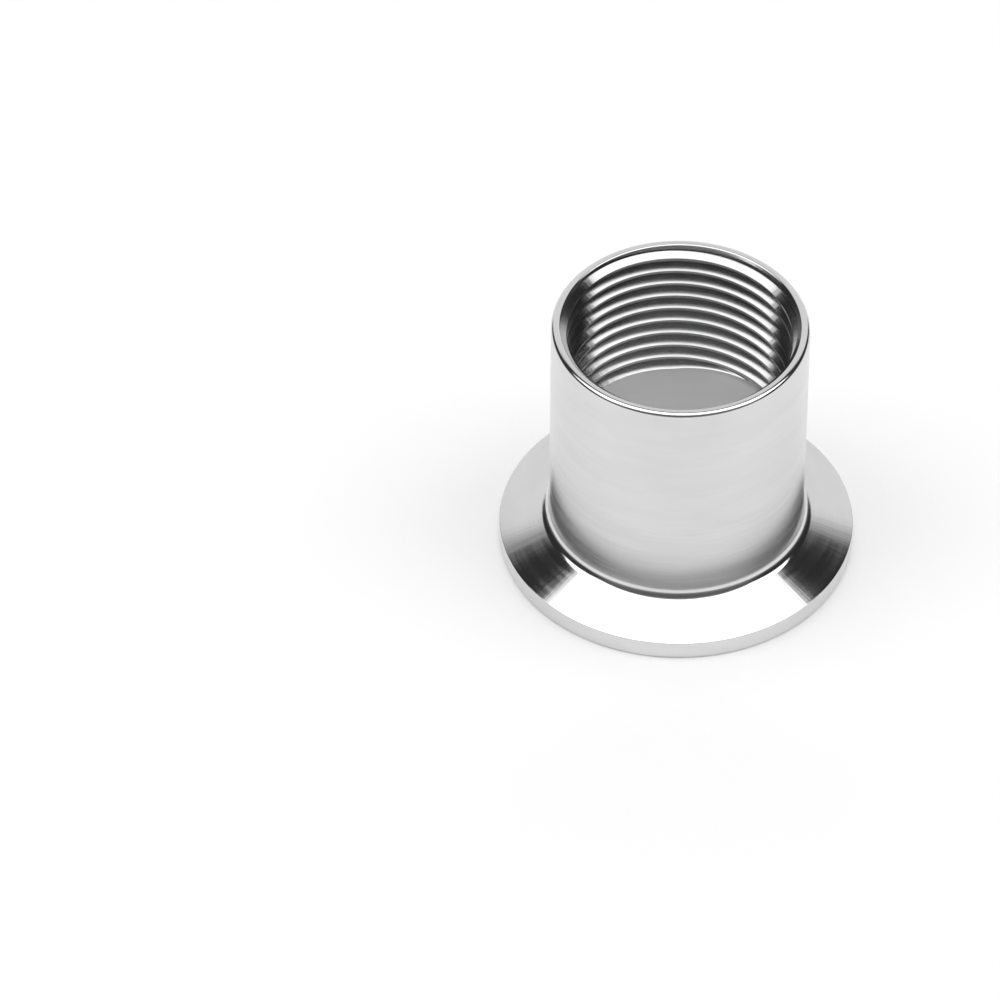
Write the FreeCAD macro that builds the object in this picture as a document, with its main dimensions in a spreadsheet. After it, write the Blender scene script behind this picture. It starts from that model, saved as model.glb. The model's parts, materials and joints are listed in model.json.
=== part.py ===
"""Sanitary clamp adapter: a clamp ferrule and a threaded pipe socket, turned as one piece.

The origin is the centre of the clamp face, and +Z runs up the bore to the socket's mouth. The bore has
the minor diameter of the socket's pipe thread, which is cut outwards from it over the upper half.
"""
import FreeCAD, Part
import math
import os
import Sketcher

# Driving dimensions, in millimetres and degrees
SIZES = {
    "overall_height": 40.4,
    "flange_diameter": 50.5,
    "flange_edge_height": 2.85,
    "flange_taper_angle": 20.0,
    "bore_diameter": 30.29,
    "socket_wall": 3.0,
    "neck_radius": 2.5,
    "rim_radius": 0.5,
    "mouth_countersink": 1.6,
    "flange_face_break": 0.3,
    "bore_face_break": 0.6,
    "gasket_groove_inset": 3.45,
    "gasket_groove_radius": 2.0,
    "gasket_groove_depth": 1.55,
}

# What follows from the driving dimensions, as expressions on the sheet
FLANGE_RADIUS = "Sizes.flange_diameter / 2"
BORE_RADIUS = "Sizes.bore_diameter / 2"
SOCKET_RADIUS = f"{BORE_RADIUS} + Sizes.socket_wall"
GROOVE_CENTRE = f"{FLANGE_RADIUS} - Sizes.gasket_groove_inset"
GROOVE_SINK = "Sizes.gasket_groove_radius - Sizes.gasket_groove_depth"

# The same as numbers, where the sketches' curves are first drawn
height = SIZES["overall_height"]
edge_height = SIZES["flange_edge_height"]
taper = math.radians(SIZES["flange_taper_angle"])
flange_radius = SIZES["flange_diameter"] / 2
bore_radius = SIZES["bore_diameter"] / 2
socket_radius = bore_radius + SIZES["socket_wall"]
neck_radius = SIZES["neck_radius"]
rim_radius = SIZES["rim_radius"]
groove_radius = SIZES["gasket_groove_radius"]
groove_centre = flange_radius - SIZES["gasket_groove_inset"]
groove_sink = groove_radius - SIZES["gasket_groove_depth"]


def make_sheet(doc):
    """The sheet of driving dimensions, with one aliased cell each."""
    sheet = doc.addObject("Spreadsheet::Sheet", "Sizes")
    for row, (name, value) in enumerate(SIZES.items(), start=1):
        sheet.set(f"A{row}", name)
        sheet.set(f"B{row}", str(value))
        sheet.setAlias(f"B{row}", name)
    doc.recompute()


def new_sketch(body, name):
    """An empty sketch on the upright plane through the axis."""
    sketch = body.newObject("Sketcher::SketchObject", name)
    plane = next(item for item in body.Origin.OriginFeatures if item.Role == "XZ_Plane")
    sketch.AttachmentSupport = (plane, [""])
    sketch.MapMode = "FlatFace"
    return sketch


def add_line(sketch, start, end):
    """A straight line between two points of the sketch."""
    return sketch.addGeometry(Part.LineSegment(FreeCAD.Vector(*start, 0), FreeCAD.Vector(*end, 0)))


def add_arc(sketch, centre, radius, first_angle, last_angle):
    """An arc that runs anticlockwise from the first angle to the last."""
    circle = Part.Circle(FreeCAD.Vector(*centre, 0), FreeCAD.Vector(0, 0, 1), radius)
    return sketch.addGeometry(Part.ArcOfCircle(circle, first_angle, last_angle))


def join(sketch, kind, first, first_end, second, second_end):
    """Two ends of curves made to meet, at a corner or tangent."""
    sketch.addConstraint(Sketcher.Constraint(kind, first, first_end, second, second_end))


def drive(sketch, name, expression, kind, *where):
    """A named dimension of the sketch that follows the sheet."""
    index = sketch.addConstraint(Sketcher.Constraint(kind, *where))
    sketch.renameConstraint(index, name)
    sketch.setExpression(f"Constraints.{name}", expression)


def draw_blank(body):
    """Half of the turned section, from the clamp face round the flange, neck, wall and rim to the bore."""
    sketch = new_sketch(body, "turned_profile")
    corner_height = edge_height + (flange_radius - socket_radius) * math.tan(taper)
    neck_turn = math.pi / 2 - taper
    neck_reach = neck_radius * math.tan(neck_turn / 2)
    neck_top = corner_height + neck_reach
    neck_foot = (socket_radius + neck_reach * math.cos(taper), corner_height - neck_reach * math.sin(taper))
    rim_edge = socket_radius - rim_radius
    rim_foot = height - rim_radius

    face = add_line(sketch, (bore_radius, 0), (flange_radius, 0))
    edge = add_line(sketch, (flange_radius, 0), (flange_radius, edge_height))
    cone = add_line(sketch, (flange_radius, edge_height), neck_foot)
    neck = add_arc(sketch, (socket_radius + neck_radius, neck_top), neck_radius, math.pi, math.pi + neck_turn)
    wall = add_line(sketch, (socket_radius, neck_top), (socket_radius, rim_foot))
    shoulder = add_arc(sketch, (rim_edge, rim_foot), rim_radius, 0, math.pi / 2)
    rim = add_line(sketch, (rim_edge, height), (bore_radius, height))
    bore = add_line(sketch, (bore_radius, height), (bore_radius, 0))

    for first, second in ((face, edge), (edge, cone), (rim, bore), (bore, face)):
        join(sketch, "Coincident", first, 2, second, 1)
    join(sketch, "Tangent", cone, 2, neck, 2)
    join(sketch, "Tangent", neck, 1, wall, 1)
    join(sketch, "Tangent", wall, 2, shoulder, 1)
    join(sketch, "Tangent", shoulder, 2, rim, 1)
    for flat in (face, rim):
        sketch.addConstraint(Sketcher.Constraint("Horizontal", flat))
    for upright in (edge, wall, bore):
        sketch.addConstraint(Sketcher.Constraint("Vertical", upright))
    sketch.addConstraint(Sketcher.Constraint("PointOnObject", face, 1, -1))

    drive(sketch, "bore", BORE_RADIUS, "DistanceX", -1, 1, face, 1, bore_radius)
    drive(sketch, "flange", FLANGE_RADIUS, "DistanceX", -1, 1, face, 2, flange_radius)
    drive(sketch, "edge", "Sizes.flange_edge_height", "DistanceY", edge, 1, edge, 2, edge_height)
    drive(sketch, "taper", "180 - Sizes.flange_taper_angle", "Angle", cone, math.pi - taper)
    drive(sketch, "neck", "Sizes.neck_radius", "Radius", neck, neck_radius)
    drive(sketch, "socket", SOCKET_RADIUS, "DistanceX", -1, 1, wall, 1, socket_radius)
    drive(sketch, "rim", "Sizes.rim_radius", "Radius", shoulder, rim_radius)
    drive(sketch, "rise", "Sizes.overall_height", "DistanceY", -1, 1, rim, 2, height)
    return sketch


def draw_gasket_groove(body):
    """The round cutter of the groove in the clamp face, whose centre lies just below the face."""
    sketch = new_sketch(body, "gasket_groove_profile")
    centre = FreeCAD.Vector(groove_centre, -groove_sink, 0)
    cutter = sketch.addGeometry(Part.Circle(centre, FreeCAD.Vector(0, 0, 1), groove_radius))
    drive(sketch, "bottom", "Sizes.gasket_groove_radius", "Radius", cutter, groove_radius)
    drive(sketch, "centre", GROOVE_CENTRE, "DistanceX", -1, 1, cutter, 3, groove_centre)
    drive(sketch, "sink", GROOVE_SINK, "DistanceY", cutter, 3, -1, 1, groove_sink)
    return sketch


def turn(body, kind, name, sketch):
    """A full turn of the sketch about the upright axis, which adds or cuts."""
    feature = body.newObject(kind, name)
    feature.Profile = sketch
    feature.ReferenceAxis = (sketch, ["V_Axis"])
    feature.Angle = 360


def circles_at(shape, radius, level):
    """Names of the circular edges with that radius, at that level on the axis."""
    names = []
    for number, edge in enumerate(shape.Edges, start=1):
        if not isinstance(edge.Curve, Part.Circle):
            continue
        offset = abs(edge.Curve.Radius - radius) + abs(edge.Curve.Center.z - level)
        if offset < 1e-4:
            names.append(f"Edge{number}")
    return names


def chamfer(doc, body, size_name, radius, level):
    """A chamfer of the named size on the circular edge at that radius and level."""
    doc.recompute()
    base = body.Tip
    feature = body.newObject("PartDesign::Chamfer", size_name)
    feature.Base = (base, circles_at(base.Shape, radius, level))
    feature.setExpression("Size", f"Sizes.{size_name}")


def make_adapter(doc):
    """The whole adapter as one body."""
    body = doc.addObject("PartDesign::Body", "adapter_body")
    body.Label = "adapter_body"
    turn(body, "PartDesign::Revolution", "blank", draw_blank(body))
    turn(body, "PartDesign::Groove", "gasket_groove", draw_gasket_groove(body))
    chamfer(doc, body, "mouth_countersink", bore_radius, height)
    chamfer(doc, body, "flange_face_break", flange_radius, 0)
    chamfer(doc, body, "bore_face_break", bore_radius, 0)
    doc.recompute()
    return body


def check(doc, body):
    """Stop if any object failed or the body is not one valid solid."""
    for item in doc.Objects:
        if "Invalid" in item.State or "Error" in item.State:
            raise RuntimeError(f"{item.Name} is {item.State}")
    if body.Shape.isNull() or not body.Shape.isValid() or len(body.Shape.Solids) != 1:
        raise RuntimeError(f"{body.Label} is not one valid solid")


document = FreeCAD.newDocument("clamp_adapter")
make_sheet(document)
adapter = make_adapter(document)
check(document, adapter)
os.makedirs("parts", exist_ok=True)
adapter.Shape.exportStep(f"parts/{adapter.Label}.step")
print(f"{adapter.Label}: {adapter.Shape.Volume:.1f} mm3, {len(adapter.Shape.Faces)} faces")
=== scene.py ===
import json
import math
from collections import namedtuple

import bpy
from mathutils import Matrix, Vector


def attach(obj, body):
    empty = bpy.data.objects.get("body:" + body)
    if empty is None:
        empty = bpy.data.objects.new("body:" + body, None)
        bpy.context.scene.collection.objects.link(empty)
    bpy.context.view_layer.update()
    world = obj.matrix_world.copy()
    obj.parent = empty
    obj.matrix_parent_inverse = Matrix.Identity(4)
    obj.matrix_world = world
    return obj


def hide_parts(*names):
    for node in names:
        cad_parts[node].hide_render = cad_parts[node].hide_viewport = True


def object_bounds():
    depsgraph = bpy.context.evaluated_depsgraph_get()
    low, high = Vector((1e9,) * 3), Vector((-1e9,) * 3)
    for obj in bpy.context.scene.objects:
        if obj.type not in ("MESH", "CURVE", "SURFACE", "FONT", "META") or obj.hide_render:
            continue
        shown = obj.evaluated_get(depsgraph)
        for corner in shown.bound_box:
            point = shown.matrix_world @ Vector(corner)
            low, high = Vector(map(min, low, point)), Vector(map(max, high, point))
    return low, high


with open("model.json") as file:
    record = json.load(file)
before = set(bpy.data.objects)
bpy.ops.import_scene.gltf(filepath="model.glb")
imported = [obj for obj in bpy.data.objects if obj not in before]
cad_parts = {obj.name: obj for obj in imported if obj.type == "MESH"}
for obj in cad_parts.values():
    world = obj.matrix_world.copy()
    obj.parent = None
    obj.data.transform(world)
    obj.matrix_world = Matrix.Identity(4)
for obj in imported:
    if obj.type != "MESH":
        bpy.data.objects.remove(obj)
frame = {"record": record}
CAD_LOW, CAD_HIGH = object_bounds()
MM = 0.001
MOUNTS = {mount["name"]: mount["dims"] for mount in frame["record"]["mounts"] if mount["dims"]}

# The turned section, in millimetres: what the frame gives, then the sizes that it doesn't
HEIGHT = CAD_HIGH.z / MM
FLANGE_RADIUS = MOUNTS["clamp_flange"]["r_mm"]
BORE_RADIUS = MOUNTS["socket_thread"]["r_mm"]
SOCKET_WALL = 3.0
SOCKET_RADIUS = BORE_RADIUS + SOCKET_WALL
FLANGE_EDGE = 2.85
FLANGE_TAPER = math.radians(20)
NECK_ROUND = 1.8
RIM_ROUND = 0.65
FLANGE_TOP_ROUND = 0.1
FLANGE_FACE_ROUND = 0.3
BORE_FACE_ROUND = 0.6
MOUTH_RADIUS = 16.95
MOUTH_ROUND = 0.25
GROOVE_INSET = 3.45
GROOVE_CENTRE = FLANGE_RADIUS - GROOVE_INSET
GROOVE_RADIUS = 2.0
GROOVE_DEPTH = 1.55
GROOVE_SINK = GROOVE_RADIUS - GROOVE_DEPTH
GROOVE_LIP_ROUND = 0.2

# The internal pipe thread, a right-hand groove of Whitworth form
PITCH = 2.309
MAJOR_RADIUS = 33.25 / 2
FLANK = math.radians(55 / 2)
WHITWORTH_ROUND = 0.137329
ROOT_ROUND = WHITWORTH_ROUND * PITCH
CREST_ROUND = 0.05
# The lips' rounds begin this far inside the bore, so that every cut crosses its wall
SKIN = 0.001
TURN = 2 * math.pi
# Where the first turn starts, and the angles between which the groove runs out of the wall
START_ANGLE = math.radians(90)
START_HEIGHT = 18.95
RUNOUT_ANGLES = (math.radians(47), math.radians(92))
# The tool's retreat at which the lips are sharp, and the largest radius that the root reaches
SHARP_RETREAT = 1.1
ROOT_LIMIT = 16.86
# The threaded part opens towards the mouth: its slope, and the heights where it starts and meets the cone
TAPER = 1 / 32
TAPER_FOOT = 17.5
CONE_FOOT = (BORE_RADIUS - TAPER_FOOT * TAPER - MOUTH_RADIUS + HEIGHT) / (1 - TAPER)

# Steps of the mesh: columns round the axis, and the angle of one step of an arc
COLUMNS = 288
ARC_STEP = math.radians(12)

# Finish of the steel: its roughness and shade, and what the thread and the outer wall change in them; the
# thread is painted darker as painted shade of its grooves
ANISOTROPY = 0.8
QUARTER_TURN = 0.25
POLISHED_ROUGHNESS = (0.08, 0.13)
THREAD_ROUGHNESS = 0.06
WALL_ROUGHNESS = 0.12
CLOUD_SHADES = (0.69, 0.715)
# Painted shade: how much darker the thread is painted, standing in for the shade in its grooves
THREAD_PAINTED_SHADE = 0.22
# Its marks: scales of their noise across the axis and along the section, detail, and depth in metres
LINE_SCALES = (60.0, 2500.0)
LINE_DETAIL = 5.0
LINE_DEPTH = 0.000001
STREAK_SCALES = (22.0, 60.0)
STREAK_DETAIL = 4.0
STREAK_DEPTH = 0.00001
CLOUD_SCALES = (120.0, 420.0)
CLOUD_DETAIL = 3.0
NOISE_RANGE = (0.3, 0.7)
# Where the masks of the thread and the outer wall are empty and where they are full, in millimetres
THREAD_INNER_EDGE = (BORE_RADIUS + 0.01, BORE_RADIUS + 0.06)
THREAD_OUTER_EDGE = (ROOT_LIMIT + 0.03, ROOT_LIMIT + 0.02)
THREAD_FOOT_EDGE = (15.0, 16.0)
WALL_OUTER_EDGE = (SOCKET_RADIUS + 0.03, SOCKET_RADIUS + 0.01)
WALL_INNER_EDGE = (SOCKET_RADIUS - 0.03, SOCKET_RADIUS - 0.01)

# Light of the studio. Slopes bound the softbox overhead: how far aside or back, per unit of rise
SOFTBOX_LIGHT = 2.35
SOFTBOX_SIDE = (1.4, 1.2)
SOFTBOX_BACK = (0.42, 0.34)
SOFTBOX_FRONT = (-0.72, -0.45)
LEAST_RISE = 0.05
# Round it, light by elevation, as pairs of degrees and radiance
BACKDROP_LIGHT = [(0, 0.9), (45, 0.9), (50, 0.05)]
FRONT_LIGHT = [(0, 0.4), (6, 0.35), (14, 0.15), (40, 0.12), (60, 0.3)]
WALL_LIGHT = [(0, 0.3), (5, 0.2), (12, 0.05), (20, 0.03)]
# Degrees from straight back at which the backdrop and the front light are empty and full
BACKDROP_AZIMUTHS = (42, 34)
FRONT_AZIMUTHS = (105, 135)

# The floor: half its width in metres, its finish, and its lift for seen, mirrored and transmitted rays
FLOOR_HALF = 1.5
FLOOR_COLOUR = (0.88, 0.88, 0.88, 1)
FLOOR_ROUGHNESS = 0.8
FLOOR_LIFT = 0.1

WHITE = (1, 1, 1, 1)

# The camera: the place of the clamp face's centre along its own axes, in metres right, up and back
SENSOR_WIDTH = 36
LENS = 282.1
BASE_FROM_CAMERA = Vector((0.02518, -0.00471, -1.12242))
CAMERA_ELEVATION = math.radians(44.17)
CAMERA_ROLL = math.radians(0.09)

Station = namedtuple("Station", "key r z before after")


def unit(r, z):
    """A normal in the section's plane: outwards, round the axis and up."""
    size = math.hypot(r, z)
    return (r / size, 0.0, z / size)


def arc(centre, radius, first, last, side):
    """Points and normals along an arc; the normals point from its centre if side is 1, towards it if -1."""
    steps = max(2, math.ceil(abs(last - first) / ARC_STEP))
    points = []
    for step in range(steps + 1):
        angle = first + (last - first) * step / steps
        out = (math.cos(angle), math.sin(angle))
        point = (centre[0] + radius * out[0], centre[1] + radius * out[1])
        points.append((*point, unit(side * out[0], side * out[1])))
    return points


def rounded_corner(previous, corner, following, radius):
    """The arc that rounds a corner of the section, walked clockwise with the air on the left."""
    back = Vector(previous) - Vector(corner)
    ahead = Vector(following) - Vector(corner)
    half = back.angle(ahead) / 2
    middle = (back.normalized() + ahead.normalized()).normalized()
    centre = Vector(corner) + middle * (radius / math.sin(half))
    convex = back.cross(ahead) > 0
    start = Vector(corner) + back.normalized() * (radius / math.tan(half)) - centre
    end = Vector(corner) + ahead.normalized() * (radius / math.tan(half)) - centre
    first = math.atan2(start.y, start.x)
    sweep = start.angle_signed(end)
    return arc(centre, radius, first, first - sweep, 1 if convex else -1)


def outer_section():
    """Points and normals from the mouth over the rim, wall, neck, taper and clamp face to the bore."""
    neck_height = FLANGE_EDGE + (FLANGE_RADIUS - SOCKET_RADIUS) * math.tan(FLANGE_TAPER)
    foot = (wall_radius(CONE_FOOT), CONE_FOOT)
    mouth = (MOUTH_RADIUS, HEIGHT)
    rim = (SOCKET_RADIUS, HEIGHT)
    neck = (SOCKET_RADIUS, neck_height)
    edge_top = (FLANGE_RADIUS, FLANGE_EDGE)
    edge_foot = (FLANGE_RADIUS, 0)
    bore_foot = (BORE_RADIUS, 0)
    lip_reach = GROOVE_RADIUS + GROOVE_LIP_ROUND
    lip_drop = GROOVE_LIP_ROUND + GROOVE_SINK
    lip_offset = math.sqrt(lip_reach**2 - lip_drop**2)
    lean = math.atan2(lip_drop, lip_offset)
    outer_lip = (GROOVE_CENTRE + lip_offset, GROOVE_LIP_ROUND)
    inner_lip = (GROOVE_CENTRE - lip_offset, GROOVE_LIP_ROUND)
    quarter = math.pi / 2
    points = rounded_corner(foot, mouth, rim, MOUTH_ROUND)
    points += rounded_corner(mouth, rim, neck, RIM_ROUND)
    points += rounded_corner(rim, neck, edge_top, NECK_ROUND)
    points += rounded_corner(neck, edge_top, edge_foot, FLANGE_TOP_ROUND)
    points += rounded_corner(edge_top, edge_foot, bore_foot, FLANGE_FACE_ROUND)
    points += arc(outer_lip, GROOVE_LIP_ROUND, -quarter, -math.pi + lean, 1)
    points += arc((GROOVE_CENTRE, -GROOVE_SINK), GROOVE_RADIUS, lean, math.pi - lean, -1)[1:-1]
    points += arc(inner_lip, GROOVE_LIP_ROUND, -lean, -quarter, 1)
    points += rounded_corner(edge_foot, bore_foot, (BORE_RADIUS, HEIGHT), BORE_FACE_ROUND)
    stations = []
    for number, (r, z, normal) in enumerate(points):
        stations.append(Station(("outer", number), r, z, normal, normal))
    return stations


def wall_radius(z):
    """The uncut bore's radius at a height: a cylinder, a taper, then the mouth's cone."""
    if z > CONE_FOOT:
        return MOUTH_RADIUS + z - HEIGHT
    return BORE_RADIUS + max(0.0, z - TAPER_FOOT) * TAPER


def wall_normal(z):
    """The bore's own normal at a height in its taper or in the mouth's cone."""
    return unit(-1, 1) if z > CONE_FOOT else unit(-1, TAPER)


def truncate_root(points, middle, limit):
    """The root's points, with a flat bottom where they would reach beyond the limit."""
    first_r, first_z = points[0][:2]
    spread = 1 + max(0.0, first_r - limit) * math.tan(FLANK) / (middle - first_z)
    flat = []
    for number, (r, z, normal) in enumerate(points):
        if r > limit:
            r = limit
            normal = unit(-1, 0) if 0 < number < len(points) - 1 else normal
        flat.append((r, middle + (z - middle) * spread, normal))
    return flat


def groove_outline(angle):
    """Named points and normals up one cut of the thread, at an angle counted on from the first turn.

    Where the groove runs out, its tool slides back along the upper flank, and its lips grow sharp.
    """
    first, last = RUNOUT_ANGLES
    retreat = (MAJOR_RADIUS - BORE_RADIUS) * min(1.0, max(0.0, (last - angle) / (last - first)))
    slope = math.tan(FLANK)
    root = (MAJOR_RADIUS - ROOT_ROUND - retreat, retreat * slope)
    root_turn = math.pi / 2 - FLANK
    lip = root[1] - ROOT_ROUND / math.cos(FLANK) - (root[0] - BORE_RADIUS) * slope
    crest_round = CREST_ROUND * (1 - retreat / SHARP_RETREAT)
    if crest_round > SKIN:
        tangent = crest_round * math.tan(root_turn / 2)
        crest = (BORE_RADIUS + crest_round - SKIN, lip - tangent)
        lower = arc(crest, crest_round, math.pi, math.pi - root_turn, 1)
    else:
        flank_normal = unit(-math.sin(FLANK), math.cos(FLANK))
        lower = [(BORE_RADIUS - CREST_ROUND, lip - CREST_ROUND * slope, flank_normal)]
    upper = [(r, 2 * root[1] - z, (normal[0], 0.0, -normal[2])) for r, z, normal in reversed(lower)]
    centre = START_HEIGHT + PITCH * (angle - START_ANGLE) / TURN
    limit = ROOT_LIMIT - (centre - TAPER_FOOT) * TAPER
    bottom = truncate_root(arc(root, ROOT_ROUND, -root_turn, root_turn, -1), root[1], limit)
    parts = {"lower lip": lower, "root": bottom, "upper lip": upper}
    outline = []
    for part, points in parts.items():
        for number, (r, z, normal) in enumerate(points):
            lean = -normal[2] * PITCH / TURN / r
            widening = (z + centre - TAPER_FOOT) * TAPER
            leaning = (normal[0], lean, normal[2] - normal[0] * TAPER)
            outline.append(((part, number), r + widening, z + centre, leaning))
    return outline


def meet_wall(here, ahead, share):
    """The place and normal that lie part of the way from one point of a cut to the next."""
    r, z = (a + (b - a) * share for a, b in zip(here[1:3], ahead[1:3]))
    normal = tuple(a + (b - a) * share for a, b in zip(here[3], ahead[3]))
    return r, z, normal


def cut_groove(turn, angle):
    """The stations of one cut of the thread that lie within the metal, with its edges there."""
    outline = groove_outline(angle + turn * TURN)
    over = [r - wall_radius(z) for name, r, z, normal in outline]
    if max(over) <= 0:
        return []
    last = max(number for number, excess in enumerate(over) if excess > 0)
    first = last
    while over[first - 1] > 0:
        first -= 1
    share = over[first - 1] / (over[first - 1] - over[first])
    r, z, normal = meet_wall(outline[first - 1], outline[first], share)
    stations = [Station((turn, "lower edge"), r, z, wall_normal(z), normal)]
    for name, r, z, normal in outline[first:last + 1]:
        stations.append(Station((turn, name), r, z, normal, normal))
    share = over[last] / (over[last] - over[last + 1])
    r, z, normal = meet_wall(outline[last], outline[last + 1], share)
    return stations + [Station((turn, "upper edge"), r, z, normal, wall_normal(z))]


def bore_section(angle):
    """The stations up the bore at one angle, from the clamp face's end to the mouth."""
    turns = math.ceil((HEIGHT - START_HEIGHT) / PITCH) + 1
    foot = Station("cone foot", wall_radius(CONE_FOOT), CONE_FOOT, unit(-1, TAPER), unit(-1, 1))
    stations = [Station("taper foot", BORE_RADIUS, TAPER_FOOT, unit(-1, 0), unit(-1, TAPER))]
    for turn in range(turns):
        if angle + turn * TURN <= RUNOUT_ANGLES[0]:
            continue
        cut = cut_groove(turn, angle)
        if cut and foot and cut[-1].z > CONE_FOOT:
            if cut[0].z > CONE_FOOT:
                stations.append(foot)
            foot = None
        stations += cut
    return stations + [foot] if foot else stations


def next_turn_keys(stations):
    """The same stations, whose thread cuts are counted from one turn earlier."""
    renamed = []
    for station in stations:
        turn, part = station.key if isinstance(station.key, tuple) else (None, None)
        if isinstance(turn, int):
            station = station._replace(key=(turn - 1, part))
        renamed.append(station)
    return renamed


def bridge(left, right):
    """Faces between two columns of numbered stations, as corners of vertex, normal and side."""
    left_keys = {station.key for number, station in left}
    right_keys = {station.key for number, station in right}
    at_left = 0
    at_right = 0
    while at_left < len(left) - 1 or at_right < len(right) - 1:
        ahead_left = left[at_left + 1][1].key if at_left < len(left) - 1 else None
        ahead_right = right[at_right + 1][1].key if at_right < len(right) - 1 else None
        corners = [(left[at_left][0], left[at_left][1].after, 0)]
        level = ahead_left == ahead_right
        step_left = ahead_left is not None and (level or ahead_left not in right_keys)
        step_right = ahead_right is not None and (level or not step_left)
        stuck = not (step_left or step_right)
        crossed = step_right and not step_left and ahead_right in left_keys
        if stuck or crossed:
            raise ValueError("the stations of two neighbouring columns lie in another order")
        if step_left:
            corners.append((left[at_left + 1][0], left[at_left + 1][1].before, 0))
        if step_right:
            corners.append((right[at_right + 1][0], right[at_right + 1][1].before, 1))
        corners.append((right[at_right][0], right[at_right][1].after, 1))
        yield corners
        at_left += step_left
        at_right += step_right


def adapter_mesh():
    """The whole adapter as one closed mesh, whose corners have the turned surfaces' exact normals."""
    outer = outer_section()
    columns = []
    vertices = []
    for number in range(COLUMNS):
        angle = TURN * number / COLUMNS
        stations = outer + bore_section(angle)
        first = len(vertices)
        column = [(first + k, station) for k, station in enumerate(stations)]
        column.append((first, outer[0]._replace(key="closing")))
        columns.append(column)
        across = (math.cos(angle), math.sin(angle))
        vertices += [(s.r * across[0] * MM, s.r * across[1] * MM, s.z * MM) for s in stations]
    seam = next_turn_keys([station for number, station in columns[0]])
    columns.append([(numbered[0], station) for numbered, station in zip(columns[0], seam)])

    faces = []
    normals = []
    for number in range(COLUMNS):
        for corners in bridge(columns[number], columns[number + 1]):
            faces.append([vertex for vertex, normal, side in corners])
            for vertex, normal, side in corners:
                angle = TURN * (number + side) / COLUMNS
                across = Matrix.Rotation(angle, 3, "Z") @ Vector(normal)
                normals.append(across.normalized())
    mesh = bpy.data.meshes.new("threaded_adapter")
    mesh.from_pydata(vertices, [], faces)
    mesh.polygons.foreach_set("use_smooth", [True] * len(faces))
    mesh.normals_split_custom_set(normals)
    return mesh


def math_node(tree, operation, *values):
    """The result of a math node that is fed numbers or other nodes' outputs."""
    node = tree.nodes.new("ShaderNodeMath")
    node.operation = operation
    for socket, value in zip(node.inputs, values):
        if isinstance(value, (int, float)):
            socket.default_value = value
        else:
            tree.links.new(value, socket)
    return node.outputs[0]


def between(tree, value, low, high, at_low=0.0, at_high=1.0):
    """A smooth change from one number to another while the value goes from low to high."""
    node = tree.nodes.new("ShaderNodeMapRange")
    node.interpolation_type = "SMOOTHSTEP"
    tree.links.new(value, node.inputs["Value"])
    node.inputs["From Min"].default_value = low
    node.inputs["From Max"].default_value = high
    node.inputs["To Min"].default_value = at_low
    node.inputs["To Max"].default_value = at_high
    return node.outputs[0]


def length_mask(tree, value, edges):
    """A smooth mask over a length, from its empty edge to its full one, both in millimetres."""
    empty, full = edges
    return between(tree, value, empty * MM, full * MM)


def coordinates(tree, kind):
    """The three parts of one kind of texture coordinates."""
    place = tree.nodes.new("ShaderNodeTexCoord")
    axes = tree.nodes.new("ShaderNodeSeparateXYZ")
    tree.links.new(place.outputs[kind], axes.inputs[0])
    return axes.outputs


def axis_distance(tree, x, y):
    """The distance from the upright axis."""
    squares = math_node(tree, "ADD", math_node(tree, "MULTIPLY", x, x), math_node(tree, "MULTIPLY", y, y))
    return math_node(tree, "SQRT", squares)


def noise(tree, parts, scales, detail):
    """A noise over three coordinates, of which the first two share a scale."""
    across, along = scales
    vector = tree.nodes.new("ShaderNodeCombineXYZ")
    for socket, part, scale in zip(vector.inputs, parts, (across, across, along)):
        tree.links.new(math_node(tree, "MULTIPLY", part, scale), socket)
    texture = tree.nodes.new("ShaderNodeTexNoise")
    texture.inputs["Scale"].default_value = 1.0
    texture.inputs["Detail"].default_value = detail
    tree.links.new(vector.outputs[0], texture.inputs["Vector"])
    return texture.outputs["Fac"]


def bump(tree, height, distance, normal=None):
    """A bump of a height from 0 to 1, whose full rise is the distance in metres."""
    node = tree.nodes.new("ShaderNodeBump")
    node.inputs["Distance"].default_value = distance
    tree.links.new(height, node.inputs["Height"])
    if normal:
        tree.links.new(normal, node.inputs["Normal"])
    return node.outputs["Normal"]


def thread_mask(tree, radius, z):
    """1 in the threaded part of the bore and 0 on the other surfaces."""
    inner = length_mask(tree, radius, THREAD_INNER_EDGE)
    outer = length_mask(tree, radius, THREAD_OUTER_EDGE)
    foot = length_mask(tree, z, THREAD_FOOT_EDGE)
    return math_node(tree, "MULTIPLY", math_node(tree, "MULTIPLY", inner, outer), foot)


def wall_mask(tree, radius):
    """1 on the socket's outer wall and 0 on the other surfaces."""
    outer = length_mask(tree, radius, WALL_OUTER_EDGE)
    inner = length_mask(tree, radius, WALL_INNER_EDGE)
    return math_node(tree, "MULTIPLY", outer, inner)


def turning_marks(tree, x, y, z, radius):
    """The noises of a turned surface: fine lines, broader streaks and clouds."""
    along = math_node(tree, "ADD", radius, z)
    lines = noise(tree, (x, y, along), LINE_SCALES, LINE_DETAIL)
    round_x = math_node(tree, "DIVIDE", x, radius)
    round_y = math_node(tree, "DIVIDE", y, radius)
    streaks = noise(tree, (round_x, round_y, along), STREAK_SCALES, STREAK_DETAIL)
    clouds = noise(tree, (x, y, along), CLOUD_SCALES, CLOUD_DETAIL)
    return lines, streaks, clouds


def steel_roughness(tree, lines, thread, wall):
    """Polished metal, rougher in the thread and satin on the outer wall."""
    polished = between(tree, lines, *NOISE_RANGE, *POLISHED_ROUGHNESS)
    thread_part = math_node(tree, "MULTIPLY", thread, THREAD_ROUGHNESS)
    wall_part = math_node(tree, "MULTIPLY", wall, WALL_ROUGHNESS)
    dulled = math_node(tree, "ADD", thread_part, wall_part)
    return math_node(tree, "ADD", polished, dulled)


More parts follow.
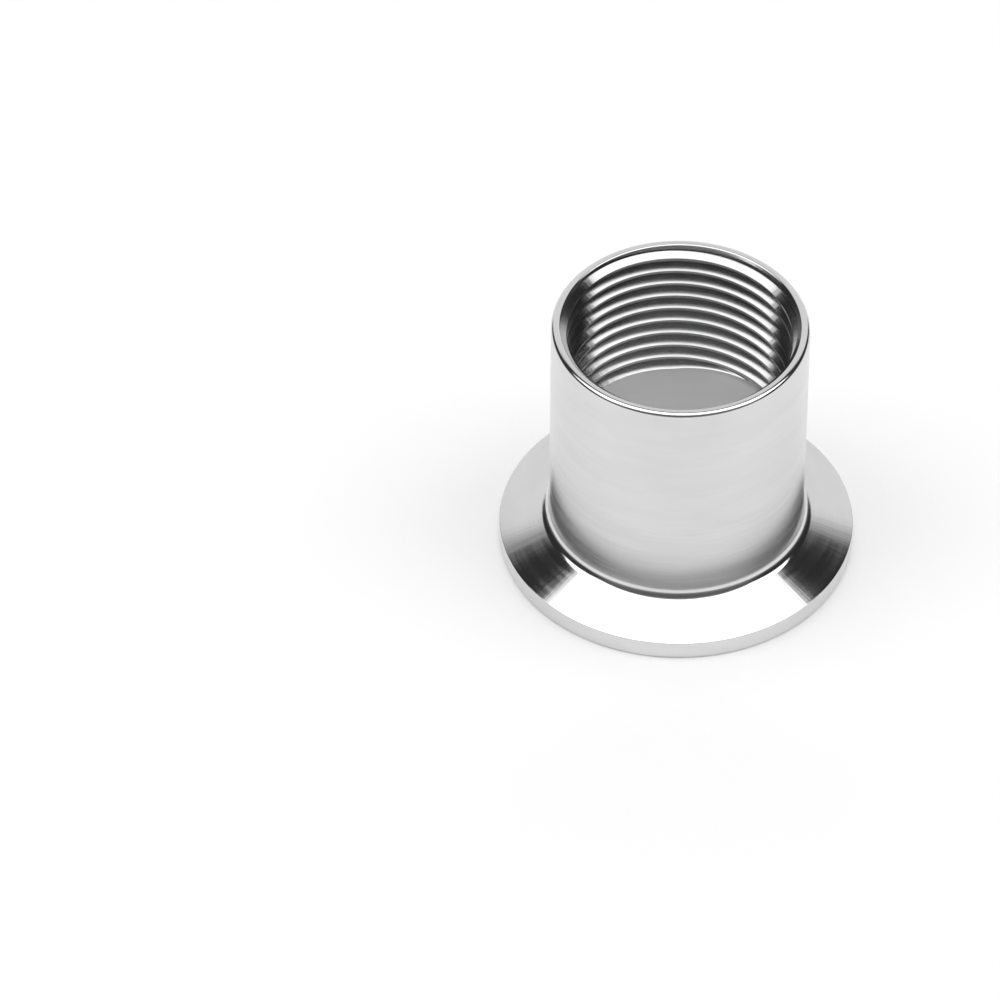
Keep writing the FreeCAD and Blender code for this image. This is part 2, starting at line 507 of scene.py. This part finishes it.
def steel_colour(tree, clouds, thread):
    """A neutral grey with faint clouding, painted darker in the thread as painted shade of its grooves."""
    clouded = between(tree, clouds, *NOISE_RANGE, *CLOUD_SHADES)
    # Painted shade: the thread is painted darker, standing in for the shade in its grooves
    painted_shade = math_node(tree, "MULTIPLY", thread, THREAD_PAINTED_SHADE)
    shade = math_node(tree, "SUBTRACT", clouded, painted_shade)
    colour = tree.nodes.new("ShaderNodeCombineColor")
    for socket in colour.inputs:
        tree.links.new(shade, socket)
    return colour.outputs[0]


def steel_material():
    """Turned and polished stainless steel, with marks that run round the axis."""
    material = bpy.data.materials.new("stainless_steel")
    material.use_nodes = True
    tree = material.node_tree
    shader = tree.nodes["Principled BSDF"]
    shader.inputs["Metallic"].default_value = 1.0
    shader.inputs["Anisotropic"].default_value = ANISOTROPY
    shader.inputs["Anisotropic Rotation"].default_value = QUARTER_TURN
    tangent = tree.nodes.new("ShaderNodeTangent")
    tangent.direction_type = "RADIAL"
    tangent.axis = "Z"
    tree.links.new(tangent.outputs[0], shader.inputs["Tangent"])

    x, y, z = coordinates(tree, "Object")
    radius = axis_distance(tree, x, y)
    lines, streaks, clouds = turning_marks(tree, x, y, z, radius)
    thread = thread_mask(tree, radius, z)
    wall = wall_mask(tree, radius)
    tree.links.new(steel_roughness(tree, lines, thread, wall), shader.inputs["Roughness"])
    tree.links.new(steel_colour(tree, clouds, thread), shader.inputs["Base Color"])
    normal = bump(tree, streaks, STREAK_DEPTH)
    normal = bump(tree, lines, LINE_DEPTH, normal)
    tree.links.new(normal, shader.inputs["Normal"])
    return material


def make_adapter():
    """The visible adapter, which takes the plain turned solid's place."""
    piece = bpy.data.objects.new("threaded_adapter", adapter_mesh())
    bpy.context.scene.collection.objects.link(piece)
    piece.data.materials.append(steel_material())
    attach(piece, "root")
    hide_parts("adapter_body")


def floor_material():
    """Matt and pale, with a small lift towards white for what is seen directly, mirrored or transmitted."""
    material = bpy.data.materials.new("floor")
    material.use_nodes = True
    tree = material.node_tree
    shader = tree.nodes["Principled BSDF"]
    shader.inputs["Base Color"].default_value = FLOOR_COLOUR
    shader.inputs["Roughness"].default_value = FLOOR_ROUGHNESS
    shader.inputs["Specular IOR Level"].default_value = 0.0
    shader.inputs["Emission Color"].default_value = WHITE
    rays = tree.nodes.new("ShaderNodeLightPath").outputs
    indirect = math_node(tree, "MAXIMUM", rays["Is Glossy Ray"], rays["Is Transmission Ray"])
    seen = math_node(tree, "MAXIMUM", rays["Is Camera Ray"], indirect)
    lift = math_node(tree, "MULTIPLY", seen, FLOOR_LIFT)
    tree.links.new(lift, shader.inputs["Emission Strength"])
    return material


def make_floor():
    """A plain pale floor that keeps the adapter's shadow."""
    near = -FLOOR_HALF
    far = FLOOR_HALF
    corners = [(near, near, 0), (far, near, 0), (far, far, 0), (near, far, 0)]
    mesh = bpy.data.meshes.new("floor")
    mesh.from_pydata(corners, [], [(0, 1, 2, 3)])
    mesh.materials.append(floor_material())
    floor = bpy.data.objects.new("floor", mesh)
    bpy.context.scene.collection.objects.link(floor)


def light_ramp(tree, height, stops):
    """Light by elevation, from pairs of degrees and radiance up to 1."""
    ramp = tree.nodes.new("ShaderNodeValToRGB")
    tree.links.new(height, ramp.inputs["Fac"])
    elements = ramp.color_ramp.elements
    while len(elements) < len(stops):
        elements.new(1.0)
    for element, (degrees, light) in zip(elements, stops):
        element.position = math.sin(math.radians(degrees))
        element.color = (light, light, light, 1)
    return ramp.outputs["Color"]


def mix(tree, share, first, second):
    """The first value where the share is 0 and the second where it is 1."""
    node = tree.nodes.new("ShaderNodeMix")
    for name, value in (("Factor", share), ("A", first), ("B", second)):
        if isinstance(value, (int, float)):
            node.inputs[name].default_value = value
        else:
            tree.links.new(value, node.inputs[name])
    return node.outputs[0]


def softbox_mask(tree, x, y, z):
    """1 in the directions of the overhead softbox and 0 outside it."""
    rise = math_node(tree, "MAXIMUM", z, LEAST_RISE)
    aside = math_node(tree, "ABSOLUTE", math_node(tree, "DIVIDE", x, rise))
    back = math_node(tree, "DIVIDE", y, rise)
    from_sides = between(tree, aside, *SOFTBOX_SIDE)
    from_back = between(tree, back, *SOFTBOX_BACK)
    from_front = between(tree, back, *SOFTBOX_FRONT)
    inside = math_node(tree, "MULTIPLY", from_sides, from_back)
    return math_node(tree, "MULTIPLY", inside, from_front)


def azimuth_mask(tree, backward, azimuths):
    """A smooth mask round the horizon, from its empty azimuth to its full one, in degrees."""
    empty, full = (math.cos(math.radians(degrees)) for degrees in azimuths)
    return between(tree, backward, empty, full)


def studio_light(tree):
    """The radiance of the studio in every direction: softbox, backdrop, front light and dark walls."""
    x, y, z = coordinates(tree, "Generated")
    backward = math_node(tree, "DIVIDE", y, axis_distance(tree, x, y))
    behind = azimuth_mask(tree, backward, BACKDROP_AZIMUTHS)
    ahead = azimuth_mask(tree, backward, FRONT_AZIMUTHS)
    walls = mix(tree, ahead, light_ramp(tree, z, WALL_LIGHT), light_ramp(tree, z, FRONT_LIGHT))
    room = mix(tree, behind, walls, light_ramp(tree, z, BACKDROP_LIGHT))
    return mix(tree, softbox_mask(tree, x, y, z), room, SOFTBOX_LIGHT)


def make_world():
    """Soft studio light, behind a background that is white to the camera."""
    world = bpy.data.worlds.new("studio")
    bpy.context.scene.world = world
    world.use_nodes = True
    tree = world.node_tree
    background = tree.nodes["Background"]
    background.inputs["Color"].default_value = WHITE
    tree.links.new(studio_light(tree), background.inputs["Strength"])

    white = tree.nodes.new("ShaderNodeBackground")
    white.inputs["Color"].default_value = WHITE
    rays = tree.nodes.new("ShaderNodeLightPath")
    choice = tree.nodes.new("ShaderNodeMixShader")
    tree.links.new(rays.outputs["Is Camera Ray"], choice.inputs[0])
    tree.links.new(background.outputs[0], choice.inputs[1])
    tree.links.new(white.outputs[0], choice.inputs[2])
    tree.links.new(choice.outputs[0], tree.nodes["World Output"].inputs["Surface"])
    bpy.context.scene.view_settings.view_transform = "Standard"


def make_camera():
    """The photograph's own view: a long lens that looks down on the mouth."""
    data = bpy.data.cameras.new("camera")
    data.lens = LENS
    data.sensor_width = SENSOR_WIDTH
    camera = bpy.data.objects.new("camera", data)
    bpy.context.scene.collection.objects.link(camera)
    turn = Matrix.Rotation(math.pi / 2 - CAMERA_ELEVATION, 3, "X") @ Matrix.Rotation(CAMERA_ROLL, 3, "Z")
    camera.rotation_euler = turn.to_euler()
    camera.location = -(turn @ BASE_FROM_CAMERA)
    bpy.context.scene.camera = camera


make_adapter()
make_floor()
make_world()
make_camera()
